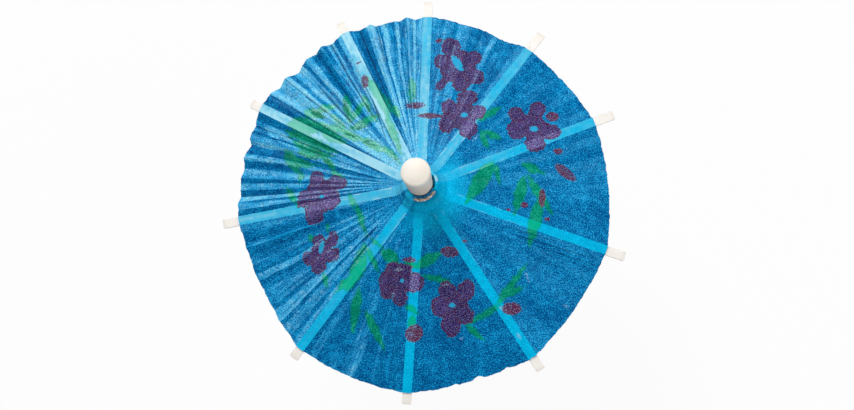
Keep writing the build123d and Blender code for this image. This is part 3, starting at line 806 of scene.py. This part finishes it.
def addBand(i):
    # the strip of paper that is glued along a rib
    s, b = canopySet, bandSet
    piece, across, along = addGrid(f"canopy_band_{ribNumbers[i]}", s["bandColumns"], round(paperReach / s["cell"]))
    turn = (ribTurns[i] + bandEdge(i, along) * (1 - 2 * across)) % fullTurn
    radius = paperRadius(turn, along)
    height = canopyHeight(turn, radius, along)[0]
    x, y = planOf(turn, radius)
    streak = latticeNoise(across * 4.5 + 7 * i, radius / 7, seeds["bandStreak"])
    streak = streak + 0.6 * latticeNoise(x / 0.9, y / 0.9, seeds["bandGrain"])
    rubbedAndLit = np.clip(1 - np.minimum(across, 1 - across) / b["rubWidth"], 0, 1)
    rubbedAndLit = rubbedAndLit * (1 - smoothStep(*b["rubRadius"], radius))
    rubbedAndLit = rubbedAndLit * np.clip(0.2 + latticeNoise(radius / 1.7, across * 2 + 5 * i, seeds["bandRub"]), 0, 1)
    # the band's streaks and pale edges add to its paleness, which is partly painted sheen
    wornAndSheen = (b["streak"] + b["paleStreak"] * bandFadeAndSheen[i]) * streak + b["rubAndHighlight"] * rubbedAndLit
    shapeSheet(piece, turn, radius, height, backing=1.0, line=0.0, shade=0.0, fade=bandFadeAndSheen[i] + wornAndSheen)
    return piece


def addGore(i, side):
    # half a panel, from the rib's edge to the middle of the gap: side is 1 towards the next rib, -1 towards the last
    s = canopySet
    gap = panelGaps[i] if side > 0 else panelGaps[i - 1]
    columns = max(s["leastColumns"], round((gap / 2 * s["rimRadius"]) / s["cell"]))
    name = f"canopy_gore_{ribNumbers[i]}_{'next' if side > 0 else 'last'}"
    piece, across, along = addGrid(name, columns, round(paperReach / s["cell"]))
    out = 1 - across if side > 0 else across
    edge = bandEdge(i, along)
    turn = (ribTurns[i] + side * (edge + out * (gap / 2 - edge))) % fullTurn
    radius = paperRadius(turn, along)
    height, line, fade = canopyHeight(turn, radius, along)
    # near the hub, the backing here holds painted light as well
    shapeSheet(piece, turn, radius, height, backing=hubBackingAndPaintedLight(turn, radius), line=line,
               shade=np.clip(-0.5 * fade, 0, s["deepest"]), fade=fade)
    return piece, gap


def addCanopy():
    s = canopySet
    for i, number in enumerate(ribNumbers):
        band = addBand(i)
        thicken(band, s["thickness"])
        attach(band, f"rib_{number}")
        for side in (1, -1):
            gore, gap = addGore(i, side)
            thicken(gore, s["thickness"])
            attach(gore, f"rib_{number}")
            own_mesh(gore)
            if side > 0:
                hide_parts(f"canopy_gore_{number}")


addCanopy()
print("canopy is in:", 3 * ribCount, "sheets")

# Neck: the middle of the paper, gathered up round the finial's foot. Radius and height over that foot, in mm.
# The thread shows under the hem at the open side, and elsewhere the paper lies over it. At the lip the paper
# stands off the finial. Rows are counted along these profiles.
brimRows = [(6.6, None), (6.55, None), (6.5, None), (6.35, -0.8)]
risingRows = [(5.95, -0.1), (5.45, 0.5), (5.1, 1.3)]
neckSet = dict(
    open=brimRows + [(5.75, 0.0), (5.15, 0.42), (4.3, 0.62), (3.6, 0.9), (3.46, 1.8), (3.42, 3.0), (3.44, 3.8),
                     (3.54, 4.4), (3.38, 4.3), (3.34, 3.4), (3.32, 2.4)],
    covered=brimRows + risingRows + [(4.9, 2.3), (4.7, 3.0), (4.3, 3.5), (3.8, 3.75), (3.5, 3.9), (3.36, 3.8),
                                     (3.34, 3.2), (3.32, 2.4)],
    lip=brimRows + risingRows + [(4.85, 2.3), (4.65, 3.0), (4.4, 3.5), (4.15, 3.75), (3.95, 3.65), (3.75, 3.2),
                                 (3.5, 2.7), (3.32, 2.4)],
    columns=276, rows=52, thickness=0.04, overGores=0.04, leastRadius=5.0, flatRadius=7.2,
    flatLength=10.1, openTurn=289, openReach=44, openSpan=(0.85, 1.2), lipTurn=8, lipReach=34,
    lipSpan=(0.6, 1.1), highlightTurn=16, highlightReach=11, rubAndHighlight=1.3, gathers=46, gatherDepth=0.14, hemWave=0.1,
    gatherLeast=0.6, gatherMore=0.7, hemShade=0.6, lipShade=0.5,
    liftRows=(2.0, 3.0), gatherRows=(2.5, 6.0), hemRows=(9, 11), crownRows=(5.0, 7.0), innerBacking=0.3,
    highlightStart=(7.6, 9.2), highlightEnd=(10.3, 10.9), hemDark=(8.2, 9.4), lipDark=(10.8, 11.6),
)
tabSet = dict(
    columns=24, rows=16, edge=6.3, bendStart=6.4, tabTip=7.7, taper=0.27, taperSpan=(0.35, 1.0), over=0.03,
)


def nearRibs(turn, radius):
    # 1 where the paper lies on a rib, and the number of the nearest one
    offRibs = np.abs((turn[:, None] - ribTurns[None, :] + math.pi) % fullTurn - math.pi)
    away = radius * np.sin(np.minimum(offRibs.min(axis=1), math.pi / 2))
    return 1 - smoothStep(*canopySet["ribSpan"], away), offRibs.argmin(axis=1)


def addTab(i, s):
    # the brim over one rib: it narrows outward, to fit between its neighbours
    piece, across, along = addGrid(f"neck_tab_{ribNumbers[i]}", s["columns"], s["rows"])
    radius = s["edge"] + along * (s["tabTip"] - s["edge"])
    half = np.where(across < 0.5, panelGaps[i], panelGaps[i - 1]) / 2
    spread = 1 - s["taper"] * smoothStep(*s["taperSpan"], along)
    turn = (ribTurns[i] + half * (1 - 2 * across) * spread) % fullTurn
    height, line, fade = canopyHeight(turn, radius, (radius - canopySet["innerRadius"]) / paperReach)
    onRib = nearRibs(turn, radius)[0]
    shade = np.clip(-0.5 * fade, 0, canopySet["deepest"]) * (1 - onRib)
    # near the hub the tab's backing holds painted light, and its fold lines and shade are painted shading
    shapeSheet(piece, turn, radius, height + s["over"],
               backing=np.maximum(hubBackingAndPaintedLight(turn, radius), onRib), line=line * (1 - onRib), shade=shade,
               fade=fade * (1 - onRib) + bandFadeAndSheen[i] * onRib)
    thicken(piece, s["over"])
    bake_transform(piece)
    return piece


def addNeck(s):
    rings = len(s["open"])
    piece, across, share = addGrid("neck_gather", s["columns"], s["rows"])
    turn = (1 - across) * fullTurn
    level = share * (rings - 1)
    covered = smoothStep(*s["openSpan"], asideOf(turn, s["openTurn"]) / s["openReach"])
    lip = covered * (1 - smoothStep(*s["lipSpan"], asideOf(turn, s["lipTurn"]) / s["lipReach"]))

    def along(column, start):
        opened, closed, standing = (np.interp(level, range(start, rings), [r[column] for r in s[side][start:]])
                                    for side in ("open", "covered", "lip"))
        return opened * (1 - covered) + closed * (covered - lip) + standing * lip

    # the brim lies on the panels, and the rest rises over the crown to the hem
    radius = along(0, 0)
    inner = canopySet["innerRadius"]
    reach = (np.maximum(radius, inner) - inner) / paperReach
    onCone, _, fade = canopyHeight(turn % fullTurn, np.maximum(radius, s["leastRadius"]), reach)
    onCone = onCone + s["overGores"]
    lifted = along(1, len(brimRows) - 1) + finialFoot
    lifting = smoothStep(*s["liftRows"], level)
    height = onCone * (1 - lifting) + np.maximum(lifted, onCone) * lifting
    wave = turn * s["gathers"] / fullTurn + 0.35 * latticeNoise(turn * 6, share * 3, seeds["gather"])
    ruffle = np.abs(wave % 1 - 0.5) * 2 - 0.5
    atHem = smoothStep(*s["hemRows"], level)
    growth = s["gatherLeast"] + s["gatherMore"] * atHem
    radius = radius + ruffle * s["gatherDepth"] * smoothStep(*s["gatherRows"], level) * growth
    height = height + s["hemWave"] * latticeNoise(turn * 5, turn * 0, seeds["hem"]) * atHem

    # the crown and the ribs back the paper, with painted light near the hub, and the hem is dark with painted shade,
    # as is the lip's inner side
    onRib, nearestRib = nearRibs(turn, radius)
    flat = 1 - smoothStep(*s["crownRows"], level) * (1 - covered)
    backing = np.maximum(hubBackingAndPaintedLight(turn, radius), onRib) * flat + s["innerBacking"] * (1 - flat)
    fade = fade * (1 - onRib) + np.array(bandFadeAndSheen)[nearestRib] * onRib
    # a painted highlight on the lip's top edge, to the right of the finial
    rubbedAndLit = np.exp(-(asideOf(turn, s["highlightTurn"]) / s["highlightReach"]) ** 2)
    rubbedAndLit = rubbedAndLit * smoothStep(*s["highlightStart"], level) * (1 - smoothStep(*s["highlightEnd"], level))
    shade = s["hemShade"] * (1 - covered) * smoothStep(*s["hemDark"], level)
    shade = shade + s["lipShade"] * lip * smoothStep(*s["lipDark"], level)
    shapeSheet(piece, turn, radius, height, backing=backing, line=0.0,
               fade=fade + s["rubAndHighlight"] * rubbedAndLit, shade=shade)
    bpy.ops.object.mode_set(mode="EDIT")
    bpy.ops.mesh.select_all(action="SELECT")
    bpy.ops.mesh.remove_doubles(threshold=1e-6)
    bpy.ops.object.mode_set(mode="OBJECT")
    thicken(piece, s["thickness"])
    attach(piece, "pick")
    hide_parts("neck_paper")
    tabs = [addTab(i, tabSet) for i in range(ribCount)]


addNeck(neckSet)
print("neck is gathered")

# Binding: a two-ply thread wound round the neck. Millimetres and turns.
bindingSet = dict(
    radius=3.98, foot=1.1, pitch=0.85, start=344, turns=1.69, pointsPerTurn=16,
    ply=0.22, plyRadius=0.24, twist=1.7,
)
threadSet = dict(
    pale=(252, 247, 240), tan=(234, 204, 176), brown=(186, 130, 104),
    fibres=(3800, 3.0, 0.7), patches=(900, 2.0, 0.6), span=(0.38, 0.62),
    roughness=0.85, sheen=0.25, relief=(0.00006, 1.0),
)


def bindingRoute(s):
    # points along the winding, read from a smooth curve through a few of its own
    curve = bpy.data.curves.new("bindingRoute", "CURVE")
    curve.dimensions = "3D"
    curve.resolution_u = 12
    spline = curve.splines.new("NURBS")
    spline.points.add(round(s["pointsPerTurn"] * s["turns"]))
    for k, point in enumerate(spline.points):
        turns = k / s["pointsPerTurn"]
        turn = math.radians(s["start"]) + turns * fullTurn
        height = finialFoot + s["foot"] + s["pitch"] * turns
        point.co = (s["radius"] * math.cos(turn), s["radius"] * math.sin(turn), height, 1)
    spline.order_u = 4
    spline.use_endpoint_u = True
    holder = bpy.data.objects.new("bindingRoute", curve)
    bpy.context.scene.collection.objects.link(holder)
    mesh = bpy.data.meshes.new_from_object(holder)
    route = np.array([v.co[:] for v in mesh.vertices])
    bpy.data.objects.remove(holder)
    return route


def addPly(name, s, route, phase):
    # one ply of the thread, which winds round the route
    step = np.gradient(route, axis=0)
    step /= np.linalg.norm(step, axis=1)[:, None]
    outward = np.column_stack([route[:, 0], route[:, 1], np.zeros(len(route))])
    outward /= np.linalg.norm(outward, axis=1)[:, None]
    upward = np.cross(step, outward)
    run = np.concatenate([[0], np.cumsum(np.linalg.norm(np.diff(route, axis=0), axis=1))])
    turn = run / s["twist"] * fullTurn + phase
    points = route + s["ply"] * (outward * np.cos(turn)[:, None] + upward * np.sin(turn)[:, None])
    curve = bpy.data.curves.new(name, "CURVE")
    curve.dimensions = "3D"
    curve.bevel_depth = s["plyRadius"] * mm
    curve.bevel_resolution = 3
    curve.use_fill_caps = True
    spline = curve.splines.new("POLY")
    spline.points.add(len(points) - 1)
    spline.points.foreach_set("co", np.column_stack([points * mm, np.ones(len(points))]).ravel())
    piece = bpy.data.objects.new(name, curve)
    bpy.context.scene.collection.objects.link(piece)
    selectOnly(piece)
    bpy.ops.object.convert(target="MESH")
    bpy.ops.object.shade_smooth()
    return piece


def threadMaterial(name, s, light, dark):
    # twisted cotton, with fibres and darker patches
    material, tree, shader = newMaterial(name)
    fibres = noise(tree, objectPlace(tree, (1, 1, 2.5)), *s["fibres"])
    mottle = average(tree, fibres, noise(tree, objectPlace(tree), *s["patches"]))
    setInputs(tree, shader, Base_Color=mixColour(tree, between(tree, mottle, *s["span"]), s[dark], s[light]),
              Roughness=s["roughness"], Sheen_Weight=s["sheen"], Normal=bump(tree, fibres, *s["relief"]))
    return material


def addBinding(s):
    route = bindingRoute(s)
    first = addPly("binding_ply_pale", s, route, 0.0)
    second = addPly("binding_ply_brown", s, route, math.pi)
    first.data.materials.append(threadMaterial("threadPale", threadSet, "pale", "tan"))
    second.data.materials.append(threadMaterial("threadBrown", threadSet, "tan", "brown"))
    for ply in (first, second):
        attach(ply, "pick")
    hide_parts("neck_binding")


addBinding(bindingSet)
print("binding is wound")

# Finishes of the pieces that stay as the frame has them. A noise is given as scale, detail and roughness,
# and a relief as depth and strength.
cardSet = dict(
    pale=(254, 250, 245), grey=(248, 243, 236), fleck=(222, 212, 202),
    cutEnd=(234, 227, 219), cutRadius=53.4, cutReach=0.8, cutShare=0.45,
    fibres=(2600, 4.0, 0.65), cloud=(420, 2.0, 0.5), span=(0.38, 0.62),
    flecks=(1500, 1.0, 0.4), fleckSpan=(0.7, 0.76), fleckShare=0.5,
    roughness=(0.3, 0.7, 0.7, 0.9), specular=0.3, relief=(0.00004, 0.6),
)


def cardMaterial(s):
    # pale card with fibres and flecks, greyer where it is cut at the rib's tip
    material, tree, shader = newMaterial("ribCard")
    place = objectPlace(tree)
    fibres = noise(tree, place, *s["fibres"])
    mottle = average(tree, fibres, noise(tree, place, *s["cloud"]))
    colour = mixColour(tree, between(tree, mottle, *s["span"]), s["grey"], s["pale"])
    flecks = between(tree, noise(tree, place, *s["flecks"]), *s["fleckSpan"])
    colour = mixColour(tree, multiply(tree, flecks, s["fleckShare"]), colour, s["fleck"])
    plan = addNode(tree, "ShaderNodeVectorMath", {"operation": "LENGTH"}, Vector=objectPlace(tree, (1, 1, 0)))
    cut = between(tree, plan.outputs["Value"], s["cutRadius"] * mm, (s["cutRadius"] + s["cutReach"]) * mm)
    colour = mixColour(tree, multiply(tree, cut, s["cutShare"]), colour, s["cutEnd"])
    setInputs(tree, shader, Base_Color=colour, Roughness=between(tree, fibres, *s["roughness"]),
              Specular_IOR_Level=s["specular"], Normal=bump(tree, fibres, *s["relief"]))
    return material


finialSet = dict(
    cream=(251, 245, 236), warm=(248, 237, 226), lowWarm=(254, 226, 202),
    cloud=(260, 3.0, 0.55), span=(0.35, 0.7), lowWarmFrom=16, lowWarmFull=11,
    rubs=(2400, 3.0, 0.6), roughness=(0.35, 0.65, 0.39, 0.55), specular=0.3,
    depth=0.4, depthColours=(1.0, 0.6, 0.45), depthReach=0.0018, relief=(0.00001, 0.4),
)


def finialMaterial(s):
    # cream moulded plastic, a little warmer in patches and low down, with fine rub marks
    material, tree, shader = newMaterial("finialCream")
    place = objectPlace(tree)
    colour = mixColour(tree, between(tree, noise(tree, place, *s["cloud"]), *s["span"]), s["cream"], s["warm"])
    height = addNode(tree, "ShaderNodeSeparateXYZ", None, Vector=place).outputs["Z"]
    low = between(tree, height, (finialFoot + s["lowWarmFrom"]) * mm, (finialFoot + s["lowWarmFull"]) * mm)
    rubs = noise(tree, objectPlace(tree, (1, 1, 0.12)), *s["rubs"])
    setInputs(tree, shader, Base_Color=mixColour(tree, low, colour, s["lowWarm"]),
              Roughness=between(tree, rubs, *s["roughness"]), Specular_IOR_Level=s["specular"],
              Subsurface_Weight=s["depth"], Subsurface_Radius=s["depthColours"], Subsurface_Scale=s["depthReach"],
              Normal=bump(tree, rubs, *s["relief"]))
    return material


woodSet = dict(pale=(226, 196, 150), dark=(186, 146, 98), stretch=(1, 1, 0.06), scale=2600)
collarSet = dict(pale=(232, 208, 168), dark=(204, 172, 126), stretch=(0.5, 0.5, 3.0), scale=1200)
grainSet = dict(
    grain=(5.0, 0.6), span=(0.32, 0.68), poreScale=3.1, pores=(2.0, 0.5), poreSpan=(0.62, 0.75),
    poreShare=0.45, roughness=(0.3, 0.7, 0.72, 0.55), relief=(0.00006, 0.7),
)


def woodMaterial(name, s):
    # wood whose grain runs the way that it is stretched
    material, tree, shader = newMaterial(name)
    g = grainSet
    place = objectPlace(tree, s["stretch"])
    grain = noise(tree, place, s["scale"], *g["grain"])
    pores = between(tree, noise(tree, place, s["scale"] * g["poreScale"], *g["pores"]), *g["poreSpan"])
    colour = mixColour(tree, between(tree, grain, *g["span"]), s["dark"], s["pale"])
    colour = mixColour(tree, multiply(tree, pores, g["poreShare"]), colour, s["dark"])
    setInputs(tree, shader, Base_Color=colour, Roughness=between(tree, grain, *g["roughness"]),
              Normal=bump(tree, grain, *g["relief"]))
    return material


sleeveSet = dict(
    pale=(214, 209, 198), grey=(178, 174, 166), layers=2500.0, fibres=(2200, 4.0, 0.65),
    span=(0.3, 0.7), roughness=0.88, relief=(0.00005, 0.8),
)


def sleeveMaterial(s):
    # plain grey paper, rolled: its layers show at the ends
    material, tree, shader = newMaterial("rolledPaper")
    layers = addNode(tree, "ShaderNodeTexWave", {"wave_type": "RINGS", "rings_direction": "Z"},
                     Vector=objectPlace(tree), Scale=s["layers"], Distortion=1.5, Detail=1.0, Detail_Scale=2.0)
    fibres = noise(tree, objectPlace(tree, (1, 1, 0.6)), *s["fibres"])
    mottle = between(tree, average(tree, layers.outputs["Fac"], fibres), *s["span"])
    setInputs(tree, shader, Base_Color=mixColour(tree, mottle, s["grey"], s["pale"]), Roughness=s["roughness"],
              Normal=bump(tree, fibres, *s["relief"]))
    return material


retainerSet = dict(
    pale=(240, 240, 236), cool=(224, 228, 230), lines=(3000, 2.0, 0.5), span=(0.35, 0.65),
    roughness=(0.3, 0.7, 0.16, 0.28), depth=0.2, depthReach=0.0006, relief=(0.00001, 0.5),
)


def retainerMaterial(s):
    # milky plastic tube, with faint drawn lines along it
    material, tree, shader = newMaterial("retainerPlastic")
    lines = noise(tree, objectPlace(tree, (1, 1, 0.05)), *s["lines"])
    setInputs(tree, shader, Base_Color=mixColour(tree, between(tree, lines, *s["span"]), s["cool"], s["pale"]),
              Roughness=between(tree, lines, *s["roughness"]), Subsurface_Weight=s["depth"],
              Subsurface_Scale=s["depthReach"], Normal=bump(tree, lines, *s["relief"]))
    return material


def dress(material, *names):
    for name in names:
        slots = cadNodes[name].material_slots
        if slots:
            slots[0].material = material
        else:
            cadNodes[name].data.materials.append(material)


dress(finialMaterial(finialSet), "finial_cap")
dress(woodMaterial("pickWood", woodSet), "pick_stick")
dress(woodMaterial("collarWood", collarSet), "crown_collar", "runner_collar")
dress(threadMaterial("cottonThread", threadSet, "pale", "tan"), "crown_thread", "runner_thread")
dress(sleeveMaterial(sleeveSet), "paper_sleeve")
dress(retainerMaterial(retainerSet), "retainer_ring")
dress(cardMaterial(cardSet), *[f"{kind}_{n}" for kind in ("rib", "strut", "strut_foot") for n in ribNumbers])
print("finishes are on")
